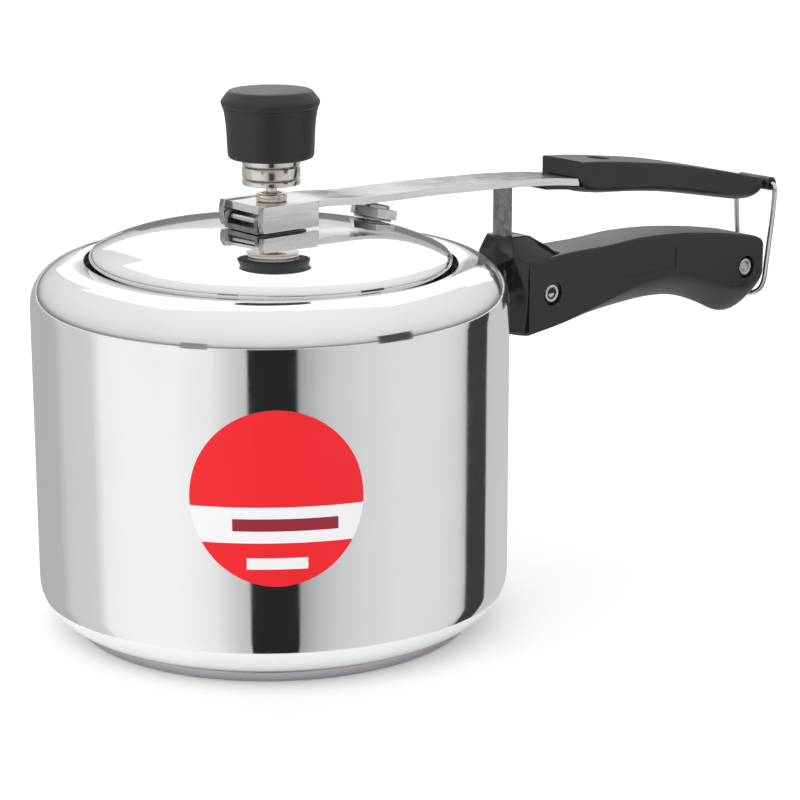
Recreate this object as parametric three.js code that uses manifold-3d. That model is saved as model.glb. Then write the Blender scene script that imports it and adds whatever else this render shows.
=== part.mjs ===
// Stovetop pressure cooker with an inner lid that seals upward against the turned-in rim.
// Millimetres, +Z up. The origin is the centre of the base, and the handles point along +X.
import * as THREE from "three";
import { mergeVertices } from "three/addons/utils/BufferGeometryUtils.js";
import Module from "manifold-3d";

const wasm = await Module();
wasm.setup();

// ---------------------------------------------------------------- driving dimensions
const GAP = 0.3; // clearance between pieces that touch
const HALF_TURN = Math.PI;
const QUARTER_TURN = Math.PI / 2;
const DEGREE = Math.PI / 180;

const vessel = { radius: 92, wall: 2.6, top: 143, shoulder: 15.5, corner: 16, floorThickness: 2.6 };
const basePlate = { radius: 78.3, thickness: 4, chamfer: 1 };
const mouth = { halfX: 69, halfY: 76 }; // the oval opening is long across the handles
const sticker = { halfWidth: 31, halfHeight: 32.6, azimuth: -126 * DEGREE, height: 74.5, thickness: 0.3 };

const lid = {
  halfX: 74, halfY: 80.8, thickness: 1.8, flangeTop: 137,
  plateau: 73.6, crown: 155.2, edgeRound: 4, edgeSlope: 25 * DEGREE,
};
const lidSquash = lid.halfX / lid.halfY; // the lid is a turned shape squeezed along X
const vent = { x: 1, shank: 4 }; // the vent tube's axis, and the thread that holds it in the lid

const post = { x: 118, thickness: 3.4, width: 8, top: 158.7 };
const bar = {
  halfWidth: 11, thickness: 3, plateTop: 165.6, plateFront: -11.5,
  tongueStart: 152.6, tongueEnd: 206, tongueHalf: 8,
};
const cheek = { front: -13.1, bulge: 0.9, back: 13, bottom: 156.1, top: 166.1, inner: 10.8, outer: 14 };
const pin = { x: -11.4, z: 159.9, radius: 1.25, halfLength: 12.8 };
const collar = { radius: 6, bore: 3.8, top: 168.7, shank: 5 };

const bodyHandle = { front: 125, end: 271, halfWidth: 11.5, endRound: 6 };
const lidHandle = { front: 153, end: 269, halfWidth: 12, taperFrom: 255, endHalf: 7 };
const lug = { x: 273.5, z: 143.3, radius: 3, halfLength: 9.3, bore: 1.6 };
const wireRadius = 1.15;
const bolts = { front: { x: 138.2, z: 112 }, rear: { x: 256.5, z: 107.8 } };
const bolt = { radius: 2, nutRadius: 3.9, recess: 5.1, recessDepth: 2.6 };

const web = { halfThickness: 1.6, bottom: 104, top: 118, end: 262 };
const wallPlate = {
  inner: vessel.radius + GAP, thickness: 2.5, halfAngle: 9.6 * DEGREE, bottom: 100, top: 122,
};
const rivet = { radius: 2, headRadius: 4, headHeight: 1.8, y: 9, z: 111 };

const stem = { radius: 2.1, tip: 1.5, bore: 0.9, bottom: 147.2, top: 183, collarRadius: 5.6 };

// Facets round a turned shape, by its size.
const facets = { vessel: 72, lid: 54, knob: 36, small: 20 };

// ---------------------------------------------------------------- looks
const polishedAluminium = { color: 0xd9dadc, roughness: 0.08, metalness: 1 };
const platedSteel = { color: 0xcfcac2, roughness: 0.22, metalness: 1 };
const dullSteel = { color: 0x8d8b88, roughness: 0.45, metalness: 1 };
const blackPlastic = { color: 0x2b2b2d, roughness: 0.4, metalness: 0 };
const blackRubber = { color: 0x1b1b1c, roughness: 0.8, metalness: 0 };
const redFilm = { color: 0xc4242b, roughness: 0.35, metalness: 0 };
const softAlloy = { color: 0x9a9a9c, roughness: 0.5, metalness: 1 };

// ---------------------------------------------------------------- shape helpers
// A closed surface with shared vertices and no empty triangles.
function welded(geometry) {
  const bare = geometry.index ? geometry.clone() : geometry;
  bare.deleteAttribute("normal");
  bare.deleteAttribute("uv");
  const merged = mergeVertices(bare, 1e-4);
  const corners = merged.index.array;
  const kept = [];
  for (let i = 0; i < corners.length; i += 3) {
    const [a, b, c] = [corners[i], corners[i + 1], corners[i + 2]];
    if (a !== b && b !== c && c !== a) kept.push(a, b, c);
  }
  merged.setIndex(kept);
  return merged;
}

function asSolid(geometry) {
  const closed = welded(geometry);
  return new wasm.Manifold(new wasm.Mesh({
    numProp: 3,
    vertProperties: new Float32Array(closed.attributes.position.array),
    triVerts: new Uint32Array(closed.index.array),
  }));
}

function asGeometry(body) {
  const mesh = body.getMesh();
  const geometry = new THREE.BufferGeometry();
  geometry.setAttribute("position", new THREE.BufferAttribute(mesh.vertProperties, 3));
  geometry.setIndex(new THREE.BufferAttribute(mesh.triVerts, 1));
  return geometry;
}

function join(...geometries) {
  return asGeometry(geometries.map(asSolid).reduce((whole, next) => whole.add(next)));
}

function cut(geometry, ...tools) {
  return asGeometry(tools.map(asSolid).reduce((whole, tool) => whole.subtract(tool), asSolid(geometry)));
}

function common(first, second) {
  return asGeometry(asSolid(first).intersect(asSolid(second)));
}

// Turns a profile of [radius, height] points about the Z axis.
function turned(profile, segments = facets.small) {
  let area = 0;
  profile.forEach(([r, z], i) => {
    const [nextR, nextZ] = profile[(i + 1) % profile.length];
    area += r * nextZ - nextR * z;
  });
  const ordered = area > 0 ? profile : [...profile].reverse();
  const points = ordered.map(([r, z]) => new THREE.Vector2(r, z));
  const onAxis = points[0].x === 0 && points[points.length - 1].x === 0;
  if (!onAxis) points.push(points[0].clone());
  return welded(new THREE.LatheGeometry(points, segments).rotateX(QUARTER_TURN));
}

function ring(inner, outer, bottom, top, segments = facets.small) {
  return turned([[inner, bottom], [outer, bottom], [outer, top], [inner, top]], segments);
}

function disc(radius, bottom, top, segments = facets.small) {
  return turned([[0, bottom], [radius, bottom], [radius, top], [0, top]], segments);
}

// Points of an arc in a turned profile, from one angle to another.
function arc(centreR, centreZ, radius, from, to, steps) {
  const points = [];
  for (let i = 0; i <= steps; i += 1) {
    const angle = (from + ((to - from) * i) / steps) * DEGREE;
    points.push([centreR + radius * Math.cos(angle), centreZ + radius * Math.sin(angle)]);
  }
  return points;
}

// A round bar along Y, centred on Y = 0 unless moved.
function barAlongY(radius, fromY, toY, x, z, segments = facets.small) {
  return new THREE.CylinderGeometry(radius, radius, toY - fromY, segments)
    .translate(x, (fromY + toY) / 2, z);
}

function discAlongX(radius, fromX, toX, y, z, segments = facets.small) {
  return new THREE.CylinderGeometry(radius, radius, toX - fromX, segments)
    .rotateZ(QUARTER_TURN).translate((fromX + toX) / 2, y, z);
}

function hexagon(radius, bottom, top) {
  return new THREE.CylinderGeometry(radius, radius, top - bottom, 6)
    .rotateX(QUARTER_TURN).translate(0, 0, (bottom + top) / 2);
}

function block(fromX, toX, fromY, toY, fromZ, toZ) {
  return new THREE.BoxGeometry(toX - fromX, toY - fromY, toZ - fromZ)
    .translate((fromX + toX) / 2, (fromY + toY) / 2, (fromZ + toZ) / 2);
}

// Only the points where a closed outline turns.
function turningPoints(outline) {
  return outline.filter(([x, z], i) => {
    const [px, pz] = outline[(i + outline.length - 1) % outline.length];
    const [nx, nz] = outline[(i + 1) % outline.length];
    return Math.abs((x - px) * (nz - z) - (z - pz) * (nx - x)) > 1e-6;
  });
}

// A side view outline of [x, z] points, given a width in Y.
function sideCut(outline, fromY, toY) {
  const shape = outline instanceof THREE.Shape
    ? outline : new THREE.Shape(turningPoints(outline).map(([x, z]) => new THREE.Vector2(x, z)));
  return new THREE.ExtrudeGeometry(shape, { depth: toY - fromY, bevelEnabled: false, curveSegments: 12 })
    .rotateX(QUARTER_TURN).translate(0, toY, 0);
}

// A smooth height for any x, through [x, z] points in rising order of x.
function heightThrough(points) {
  const slope = (i) => {
    const [x0, z0] = points[Math.max(i - 1, 0)];
    const [x1, z1] = points[Math.min(i + 1, points.length - 1)];
    return (z1 - z0) / (x1 - x0);
  };
  return (x) => {
    let i = 0;
    while (i < points.length - 2 && x > points[i + 1][0]) i += 1;
    const [x0, z0] = points[i];
    const [x1, z1] = points[i + 1];
    const span = x1 - x0;
    const t = (x - x0) / span;
    const blend = t * t * (3 - 2 * t);
    const startPull = slope(i) * span * t * (1 - t) ** 2;
    const endPull = slope(i + 1) * span * t * t * (1 - t);
    return z0 + (z1 - z0) * blend + startPull - endPull;
  };
}

// A handle: one rounded section carried along X, its size following the side and plan outlines.
function handleLoft({ from, to, steps, halfWidth, top, edge, bottom, topRound }) {
  const section = new THREE.Shape();
  section.moveTo(1, 0);
  section.lineTo(1, 1 - topRound);
  section.quadraticCurveTo(1, 1, 1 - topRound, 1);
  section.lineTo(topRound - 1, 1);
  section.quadraticCurveTo(-1, 1, -1, 1 - topRound);
  section.lineTo(-1, 0);
  section.absarc(0, 0, 1, HALF_TURN, 2 * HALF_TURN, false);
  const loft = welded(new THREE.ExtrudeGeometry(section, {
    steps, depth: 1, bevelEnabled: false, curveSegments: 3,
  }));
  const position = loft.attributes.position;
  for (let i = 0; i < position.count; i += 1) {
    const across = position.getX(i);
    const up = position.getY(i);
    const along = position.getZ(i);
    const x = from + (to - from) * Math.sin(along * QUARTER_TURN) ** 1.2;
    const side = edge(x);
    const z = up >= 0 ? side + (top(x) - side) * up : side + (side - bottom(x)) * up;
    position.setXYZ(i, x, across * halfWidth(x), z);
  }
  return loft;
}

function mesh(name, geometry, look) {
  const part = new THREE.Mesh(geometry, new THREE.MeshStandardMaterial(look));
  part.name = name;
  return part;
}

// ---------------------------------------------------------------- vessel
function vesselBody() {
  const { radius, wall, top, shoulder, corner, floorThickness } = vessel;
  const bottom = basePlate.thickness + GAP;
  const lipRadius = mouth.halfX - 5; // the oval cut takes away everything inside the lip
  const shell = turned([
    [0, bottom],
    ...arc(radius - corner, bottom + corner, corner, -90, 0, 6),
    ...arc(radius - shoulder, top - shoulder, shoulder, 0, 90, 6),
    [lipRadius, top],
    [lipRadius, top - wall],
    ...arc(radius - shoulder, top - shoulder, shoulder - wall, 90, 0, 6),
    ...arc(radius - corner, bottom + corner, corner - floorThickness, 0, -90, 6),
    [0, bottom + floorThickness],
  ], facets.vessel);
  const opening = disc(1, top - 2 * wall, top + wall, facets.vessel).scale(mouth.halfX, mouth.halfY, 1);
  const rivetHoles = [-rivet.y, rivet.y].map((y) =>
    discAlongX(rivet.radius + GAP, radius - 10, radius + 5, y, rivet.z));
  return cut(shell, opening, ...rivetHoles);
}

function basePlateDisc() {
  const { radius, thickness, chamfer } = basePlate;
  return turned([[0, 0], [radius - chamfer, 0], [radius, chamfer], [radius, thickness], [0, thickness]],
    facets.vessel);
}

function frontSticker() {
  const inner = vessel.radius + 0.15; // thin enough to lie on the wall, clear of its facets
  const band = ring(inner, inner + sticker.thickness, sticker.height - sticker.halfHeight - 5,
    sticker.height + sticker.halfHeight + 5, facets.vessel);
  const outline = new THREE.CylinderGeometry(1, 1, 60, facets.knob)
    .rotateZ(QUARTER_TURN).scale(1, sticker.halfWidth, sticker.halfHeight).translate(vessel.radius, 0, 0)
    .rotateZ(sticker.azimuth).translate(0, 0, sticker.height);
  return common(band, outline);
}

// ---------------------------------------------------------------- bracket and body handle
function bodyBracket() {
  const { inner, thickness, halfAngle, bottom, top } = wallPlate;
  const plateShape = new THREE.Shape();
  plateShape.absarc(0, 0, inner + thickness, -halfAngle, halfAngle, false);
  plateShape.absarc(0, 0, inner, halfAngle, -halfAngle, true);
  const plate = new THREE.ExtrudeGeometry(plateShape, {
    depth: top - bottom, bevelEnabled: false, curveSegments: 8,
  }).translate(0, 0, bottom);
  const webPlate = block(inner + 1, web.end, -web.halfThickness, web.halfThickness, web.bottom, web.top);
  const upright = block(post.x, post.x + post.thickness, -post.width / 2, post.width / 2, web.bottom, post.top);
  const rivetHoles = [-rivet.y, rivet.y].map((y) =>
    discAlongX(rivet.radius + GAP, inner - 5, inner + 8, y, rivet.z));
  const boltHoles = [bolts.front, bolts.rear].map(({ x, z }) =>
    barAlongY(bolt.radius + GAP, -5, 5, x, z));
  return cut(join(plate, webPlate, upright), ...rivetHoles, ...boltHoles);
}

// A rivet with a flat head inside the vessel and a domed one on the bracket.
function bracketRivet(y) {
  const insideFace = Math.sqrt((vessel.radius - vessel.wall) ** 2 - (rivet.y + rivet.headRadius) ** 2) - GAP;
  const outsideFace = wallPlate.inner + wallPlate.thickness + GAP;
  const shank = discAlongX(rivet.radius, insideFace - 1, outsideFace + 1, y, rivet.z);
  const innerHead = discAlongX(rivet.headRadius, insideFace - rivet.headHeight, insideFace, y, rivet.z);
  const outerHead = new THREE.CylinderGeometry(rivet.headRadius, rivet.radius, rivet.headHeight, 20)
    .rotateZ(QUARTER_TURN).translate(outsideFace + rivet.headHeight / 2, y, rivet.z);
  return join(shank, innerHead, outerHead);
}

const bodyHandleOutline = {
  top: heightThrough([[125, 125.4], [140, 127.6], [152, 128.3], [170, 128.4], [191, 129.3], [213, 128.4],
    [236, 125.8], [257, 122.4], [264, 120.6], [268.5, 117.5], [271, 112.5]]),
  edge: heightThrough([[125, 96], [145, 98.8], [165, 103.3], [181, 106.9], [197, 109.6], [211, 109.6],
    [226, 106.8], [243, 102], [258, 99.5], [266, 102], [271, 107]]),
  bottom: heightThrough([[125, 94.5], [145, 96.2], [160, 97.3], [180, 98.8], [198, 99.8], [213, 99.4],
    [224, 97.4], [236, 93], [247, 88], [254, 86.5], [260, 87.2], [265, 90.5], [269, 95.5], [271, 101]]),
};

// The neck that rises from the handle and closes round the fulcrum post. Its rows run from the top
// down into the handle, each from the front crease to the back, as [x, half width, z].
const neckRows = [
  [[116.5, 0, 137.2], [118.1, 8, 137.4], [124.5, 7.2, 137.6], [130, 6.2, 136.8], [134, 5.6, 134.6],
    [140.5, 5.2, 131.2], [154, 5, 126.8]],
  [[116.6, 0, 126.2], [116.2, 11.3, 129.6], [125.2, 11.2, 125.6], [131, 11, 126], [136, 10.9, 126.4],
    [142, 10.8, 126.6], [156, 10.8, 125.8]],
  [[124.8, 0, 119.6], [124.9, 9, 119], [127, 10.4, 119], [131, 10.4, 119], [136, 10.4, 119],
    [142, 10.4, 119], [156, 10.4, 119]],
];

function handleNeck() {
  const rows = neckRows.map((row) => [
    ...row.slice(1).reverse(),
    ...row.map(([x, halfWidth, z]) => [x, -halfWidth, z]),
  ]);
  const count = rows[0].length;
  const corners = [];
  const quad = (a, b, c, d) => corners.push(a, b, c, a, c, d);
  for (let row = 0; row < rows.length - 1; row += 1) {
    for (let i = 0; i < count; i += 1) {
      const next = (i + 1) % count;
      quad(row * count + i, (row + 1) * count + i, (row + 1) * count + next, row * count + next);
    }
  }
  const lowest = (rows.length - 1) * count;
  for (let i = 0; i < (count - 1) / 2; i += 1) {
    const across = count - 1 - i;
    quad(i, i + 1, across - 1, across);
    quad(lowest + across, lowest + across - 1, lowest + i + 1, lowest + i);
  }
  const neck = new THREE.BufferGeometry();
  neck.setAttribute("position", new THREE.BufferAttribute(new Float32Array(rows.flat(2)), 3));
  neck.setIndex(corners);
  return neck;
}

function bodyHandleGrip() {
  const { front, end, halfWidth, endRound } = bodyHandle;
  const grip = handleLoft({
    from: front, to: end, steps: 28, topRound: 0.12,
    halfWidth: (x) => {
      const past = Math.max(0, x - (end - endRound));
      return halfWidth - endRound + Math.sqrt(Math.max(0, endRound ** 2 - past ** 2));
    },
    ...bodyHandleOutline,
  });
  const webSlot = block(front - 15, web.end + GAP, -web.halfThickness - GAP, web.halfThickness + GAP,
    web.bottom - GAP, web.top + GAP);
  const postHole = block(post.x - GAP, post.x + post.thickness + GAP,
    -post.width / 2 - GAP, post.width / 2 + GAP, web.bottom, post.top);
  const fixings = [bolts.front, bolts.rear].flatMap(({ x, z }) => [
    barAlongY(bolt.radius + GAP, -20, 20, x, z),
    barAlongY(bolt.recess, -20, bolt.recessDepth - halfWidth, x, z),
    barAlongY(bolt.recess, halfWidth - bolt.recessDepth, 20, x, z),
  ]);
  return cut(join(grip, handleNeck()), webSlot, postHole, ...fixings);
}

// The bolt's round head is on the far side, and its end shows inside the round nut.
function handleBolt({ x, z }) {
  const seat = bodyHandle.halfWidth - bolt.recessDepth + GAP;
  const shank = barAlongY(bolt.radius, -seat - 1.3, seat + 1, x, z);
  const head = barAlongY(bolt.nutRadius, seat, seat + 1.8, x, z);
  return join(shank, head);
}

function handleNut({ x, z }) {
  const seat = bodyHandle.halfWidth - bolt.recessDepth + GAP;
  const body = barAlongY(bolt.nutRadius, -seat - 1.8, -seat, x, z);
  return cut(body, barAlongY(bolt.radius + GAP, -20, 0, x, z));
}

// ---------------------------------------------------------------- lever
const barTop = heightThrough([[-10, 165.6], [8, 165.6], [21, 165.5], [38, 164.3], [74, 163.7], [95, 163],
  [117, 162.1], [139, 160.5], [153, 158.8], [170, 157.1], [190, 154.8], [207, 152.2]]);

// The side outline of a band that follows the bar, between two offsets from the bar's top.
function barBand(fromX, toX, upper, lower) {
  const steps = Math.ceil((toX - fromX) / 8);
  const xs = Array.from({ length: steps + 1 }, (_, i) => fromX + ((toX - fromX) * i) / steps);
  const above = xs.map((x) => [x, barTop(x) + upper]);
  const below = xs.map((x) => [x, barTop(x) + lower]).reverse();
  return [...above, ...below];
}

// Side outline of the cheeks that carry the hinge pin, with a gently bowed front end.
function cheekOutline() {
  const { front, bulge, back, bottom, top } = cheek;
  const halfHeight = (top - bottom) / 2;
  const bow = (halfHeight ** 2 + bulge ** 2) / (2 * bulge);
  const reach = Math.asin(halfHeight / bow);
  const outline = new THREE.Shape();
  outline.moveTo(back, bottom);
  outline.lineTo(back, top);
  outline.lineTo(front, top);
  outline.absarc(front - bulge + bow, bottom + halfHeight, bow, HALF_TURN - reach, HALF_TURN + reach, false);
  return outline;
}

function leverBar() {
  const strap = sideCut(barBand(bar.plateFront, bar.tongueEnd, 0, -bar.thickness),
    -bar.halfWidth, bar.halfWidth);
  const shoulders = [-1, 1].map((side) => block(bar.tongueStart, 220, -4, 4, 140, 170)
    .translate(0, side * (bar.tongueHalf + 4), 0));
  const cheeks = [sideCut(cheekOutline(), -cheek.outer, -cheek.inner),
    sideCut(cheekOutline(), cheek.inner, cheek.outer)];
  const pinHole = barAlongY(pin.radius + GAP, -pin.halfLength - GAP, pin.halfLength + GAP, pin.x, pin.z);
  const bushHole = disc(collar.shank + GAP, cheek.bottom, bar.plateTop + 5).translate(vent.x, 0, 0);
  const screwHole = disc(lidScrew.radius + GAP, 140, 170).translate(lidScrew.x, 0, 0);
  return cut(join(strap, ...cheeks), ...shoulders, pinHole, bushHole, screwHole);
}

// The bush pressed into the bar that the vent stem comes up through.
function ventCollar() {
  const seat = bar.plateTop + GAP;
  const foot = bar.plateTop - bar.thickness;
  return turned([[collar.bore, foot], [collar.shank, foot],
    [collar.shank, seat], [collar.radius, seat], [collar.radius, collar.top - 0.6],
    [collar.radius - 0.6, collar.top], [collar.bore, collar.top]]);
}

const lidHandleOutline = {
  top: heightThrough([[153, 166], [166, 165], [183, 163], [209, 159.3], [243, 152.4], [258, 148.9],
    [265, 147.2], [269, 145]]),
  edge: heightThrough([[153, 158], [160, 154.8], [171, 153.4], [190, 151.8], [210, 149.2], [240, 143.8],
    [259, 141], [269, 143.2]]),
  bottom: heightThrough([[153, 155], [157, 152.4], [162, 151], [171, 149.8], [190, 148.2], [210, 145.8],
    [240, 140.4], [248, 138.8], [259, 137.1], [265, 138.3], [269, 141.4]]),
};

const lidLip = { front: 134, thickness: 1.4 }; // the tongue of the handle under the bar
const lidScrew = {
  x: 174, radius: 2, headRadius: 3.6, headHeight: 2.2, seat: 160.4, recess: 5,
  nutSeat: 4.6, nutRadius: 4.2, nutHeight: 2, // the nut sits this far below the top of the bar
};

function lidHandleGrip() {
  const { front, end, halfWidth, taperFrom, endHalf } = lidHandle;
  const grip = handleLoft({
    from: front, to: end, steps: 22, topRound: 0.16,
    halfWidth: (x) => {
      const t = Math.max(0, (x - taperFrom) / (end - taperFrom));
      return endHalf + (halfWidth - endHalf) * Math.sqrt(1 - t * t);
    },
    ...lidHandleOutline,
  });
  const lipTop = -bar.thickness - GAP;
  const lip = sideCut(barBand(lidLip.front, front + 3, lipTop, lipTop - lidLip.thickness),
    -bar.halfWidth, bar.halfWidth);
  const neck = block(end - 5, lug.x, -lug.halfLength + 2, lug.halfLength - 2, lug.z - 1.9, lug.z + 1.9);
  const eye = barAlongY(lug.radius, -lug.halfLength, lug.halfLength, lug.x, lug.z);
  const pocket = sideCut(barBand(front - 2, bar.tongueEnd + GAP, GAP, -bar.thickness - GAP),
    -bar.tongueHalf - GAP, bar.tongueHalf + GAP);
  const eyeBore = barAlongY(lug.bore, -20, 20, lug.x, lug.z);
  const headWell = disc(lidScrew.recess, lidScrew.seat, 175).translate(lidScrew.x, 0, 0);
  const shankHole = disc(lidScrew.radius + GAP, 140, 175).translate(lidScrew.x, 0, 0);
  const nutWell = disc(lidScrew.recess, 140, barTop(lidScrew.x) - lidScrew.nutSeat).translate(lidScrew.x, 0, 0);
  return cut(join(grip, lip, neck, eye), pocket, eyeBore, headWell, shankHole, nutWell);
}

function lidHandleScrew() {
  const { radius, headRadius, headHeight, seat } = lidScrew;
  const bottom = barTop(lidScrew.x) - lidScrew.nutSeat - GAP - lidScrew.nutHeight;
  return turned([[0, bottom], [radius, bottom], [radius, seat + GAP], [headRadius, seat + GAP],
    [headRadius, seat + headHeight - 0.6], [headRadius - 1, seat + headHeight], [0, seat + headHeight]])
    .translate(lidScrew.x, 0, 0);
}

function lidHandleNut() {
  const { x, radius, nutSeat, nutRadius, nutHeight } = lidScrew;
  const top = barTop(x) - nutSeat - GAP;
  return cut(hexagon(nutRadius, top - nutHeight, top), disc(radius + GAP, top - 5, top + 5))
    .translate(x, 0, 0);
}

// ---------------------------------------------------------------- latch loop
// Half of the wire's route, from the middle of the lug to the middle of the hook.
const loopHalf = [[273.5, 0.3, 143.3], [273.5, 5, 143.3], [273.5, 9.4, 143.3], [273.5, 11.1, 141.9],
  [273.4, 11.4, 138], [273.2, 10.8, 128], [273, 9.6, 117], [272.8, 8.4, 106], [272.8, 7.6, 99.5],
  [271.8, 6.2, 95.2], [269.9, 3.6, 93.1], [269.3, 0, 92.8]];

function latchLoop() {
  const far = loopHalf.map(([x, y, z]) => new THREE.Vector3(x, y, z));
  const near = loopHalf.slice(0, -1).reverse().map(([x, y, z]) => new THREE.Vector3(x, -y, z));
  const route = new THREE.CatmullRomCurve3([...far, ...near], false, "centripetal");
  const section = new THREE.Shape();
  section.absarc(0, 0, wireRadius, 0, 2 * HALF_TURN, false);
  return welded(new THREE.ExtrudeGeometry(section, { steps: 54, extrudePath: route, curveSegments: 4 }));
}

// ---------------------------------------------------------------- lid
const domePower = 4; // flat in the middle, and falling away towards the edge
const domeEdge = lid.plateau - lid.edgeRound * (1 - Math.sin(lid.edgeSlope));
const domeHeight = (Math.tan(lid.edgeSlope) * domeEdge) / domePower;
const domeAt = (r) => lid.crown - domeHeight * (r / domeEdge) ** domePower;

const valve = {
  hexRadius: 9.9, hexBottom: 1.2, hexTop: 4.9, tierRadius: 6, tierTop: 6.5, shank: 3.5, bore: 2,
  washerRadius: 7.5, washerTop: 0.9,
};
const valveX = 50.5;
const valveSeat = {
  x: valveX,
  z: domeAt(valveX / lidSquash),
  tilt: Math.atan2(domeAt((valveX - 1) / lidSquash) - domeAt((valveX + 1) / lidSquash), 2),
};

function lidPlate() {
  const { thickness, flangeTop, plateau, edgeRound, edgeSlope, halfY } = lid;
  const rings = [0, 0.35, 0.6, 0.8, 0.92, 1].map((t) => t * domeEdge);
  const upper = rings.map((r) => [r, domeAt(r)]);
  const lower = rings.map((r) => [r * (1 - thickness / domeEdge), domeAt(r) - thickness]);
  const plate = turned([
    ...upper,
    ...arc(plateau - edgeRound, domeAt(domeEdge) - edgeRound * Math.cos(edgeSlope), edgeRound,
      90 - edgeSlope / DEGREE, 0, 4).slice(1),
    [plateau, flangeTop + 0.8],
    [plateau + 0.8, flangeTop],
    [halfY - 0.5, flangeTop],
    [halfY, flangeTop - 0.5],
    [halfY, flangeTop - thickness],
    [plateau - thickness, flangeTop - thickness],
    ...lower.reverse(),
  ], facets.lid).scale(lidSquash, 1, 1);
  const ventHole = disc(vent.shank + GAP, 140, 160).translate(vent.x, 0, 0);
  const valveHole = disc(valve.shank + GAP, -15, 10).rotateY(valveSeat.tilt)
    .translate(valveSeat.x, 0, valveSeat.z);
  return cut(plate, ventHole, valveHole, ...lidRivetHoles());
}

// Height of the underside of the vessel's rim and shoulder.
function undersideAt(r) {
  const past = Math.max(0, r - (vessel.radius - vessel.shoulder));
  return vessel.top - vessel.shoulder + Math.sqrt((vessel.shoulder - vessel.wall) ** 2 - past ** 2);
}

function sealingGasket() {
  const clearance = 2 * GAP; // the vessel's facets lie a little inside its true curve
  const inner = lid.plateau + 1.3;
  const lip = lid.halfY + GAP;
  const outer = lip + 1.5;
  const seat = lid.flangeTop + GAP;
  const skirt = lid.flangeTop - lid.thickness - 0.6;
  const top = [outer, lip, lip - 2, lip - 4, inner].map((r) => [r, undersideAt(r) - clearance]);
  return turned([[inner, seat], [lip, seat], [lip, skirt], [outer, skirt], ...top], facets.lid)
    .scale(lidSquash, 1, 1);
}

const lidRivets = [[-7, -7], [-7, 7]];
const lidRivet = { radius: 1.5, headRadius: 2.5 };
const clevis = {
  bottom: lid.crown + GAP, thickness: 2, front: -13.8, back: 9.5, halfWidth: 10.4, earRadius: 2.35,
};

function lidRivetHoles() {
  return lidRivets.map(([x, y]) => disc(lidRivet.radius + GAP, 140, 160).translate(x, y, 0));
}

// Folded clevis on the lid: a base plate with an ear each side for the hinge pin.
function lidBracket() {
  const { bottom, thickness, front, back, halfWidth, earRadius } = clevis;
  const base = block(front, back, -halfWidth, halfWidth, bottom, bottom + thickness);
  const ear = new THREE.Shape();
  ear.moveTo(pin.x - earRadius, bottom);
  ear.lineTo(pin.x + earRadius, bottom);
  ear.lineTo(pin.x + earRadius, pin.z);
  ear.absarc(pin.x, pin.z, earRadius, 0, HALF_TURN, false);
  const ears = [sideCut(ear, -halfWidth, thickness - halfWidth),
    sideCut(ear, halfWidth - thickness, halfWidth)];
  const pinHole = barAlongY(pin.radius + GAP, -20, 20, pin.x, pin.z);
  const ventHole = disc(vent.shank + GAP, 140, 160).translate(vent.x, 0, 0);
  return cut(join(base, ...ears), pinHole, ventHole, ...lidRivetHoles());
}

function clevisRivet([x, y]) {
  const { radius, headRadius } = lidRivet;
  const under = lid.crown - lid.thickness - GAP;
  const over = clevis.bottom + clevis.thickness + GAP;
  return turned([[0, under - 1.3], [headRadius, under - 1.3], [headRadius, under], [radius, under],
    [radius, over], [headRadius, over], [headRadius - 0.7, over + 1.2], [0, over + 1.2]]).translate(x, y, 0);
}

// The vent tube clamps the clevis to the lid and carries the regulator on its tip.
function ventTube() {
  const seat = clevis.bottom + clevis.thickness + GAP;
  const { radius, tip, bore, bottom, top, collarRadius } = stem;
  return turned([[bore, bottom], [vent.shank, bottom], [vent.shank, seat], [collarRadius, seat],
    [collarRadius, seat + 1.8], [collarRadius - 1.2, seat + 2.6], [radius, seat + 3], [radius, top - 3],
    [tip, top - 1], [tip, top], [bore, top]]);
}

const underLid = lid.crown - lid.thickness - GAP;
const ventWasherThickness = 1.3;

function ventWasher() {
  return ring(vent.shank + GAP, 6.2, underLid - ventWasherThickness, underLid);
}

function onVentAxis(part) {
  part.position.x = vent.x;
  return part;
}

function ventNut() {
  const top = underLid - ventWasherThickness - GAP;
  return cut(hexagon(6.6, top - 2.7, top), disc(vent.shank + GAP, top - 5, top + 5));
}

// The safety valve's pieces share one axis, square to the dome where the valve sits.
function safetyValve() {
  const { hexRadius, hexBottom, hexTop, tierRadius, tierTop, shank, bore } = valve;
  const body = join(hexagon(hexRadius, hexBottom, hexTop).rotateZ(HALF_TURN / 6),
    disc(tierRadius, hexTop - 1, tierTop), disc(shank, -7.2, hexBottom + 1));
  return cut(body, disc(bore, -10, 12));
}

function onValveSeat(part) {
  part.position.set(valveSeat.x, 0, valveSeat.z);
  part.rotation.y = valveSeat.tilt;
  return part;
}

// ---------------------------------------------------------------- regulator
const regulator = { discRadius: 11.15, bottom: 172, coreRadius: 12, coreTop: 199, socket: 2.6, seat: 184.2 };

function regulatorKnob() {
  const clear = regulator.coreRadius + GAP;
  const ceiling = regulator.coreTop + GAP;
  return turned([[clear, 182], [15.4, 182], [16.4, 183.2], [16.6, 185], [16.9, 192], [17.3, 197],
    [17.9, 200.6], [18.9, 203.4], [18.7, 204.3], [15.9, 207.7], [0, 208.5],
    [0, ceiling], [clear, ceiling]], facets.knob);
}

// Turned steel weight: grooved discs below, a plain core inside the knob, and the stem's socket.
function regulatorWeight() {
  const { discRadius, bottom, coreRadius, coreTop, socket } = regulator;
  const groove = discRadius - 0.7;
  return turned([[socket, bottom], [discRadius - 0.5, bottom], [discRadius, bottom + 0.4],
    [discRadius, 174.1], [groove, 174.4], [discRadius, 174.7], [discRadius, 179], [groove, 179.3],
    [discRadius, 179.6], [discRadius, 181.6], [coreRadius, 182.3], [coreRadius, coreTop],
    [socket, coreTop]], facets.knob);
}

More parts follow.
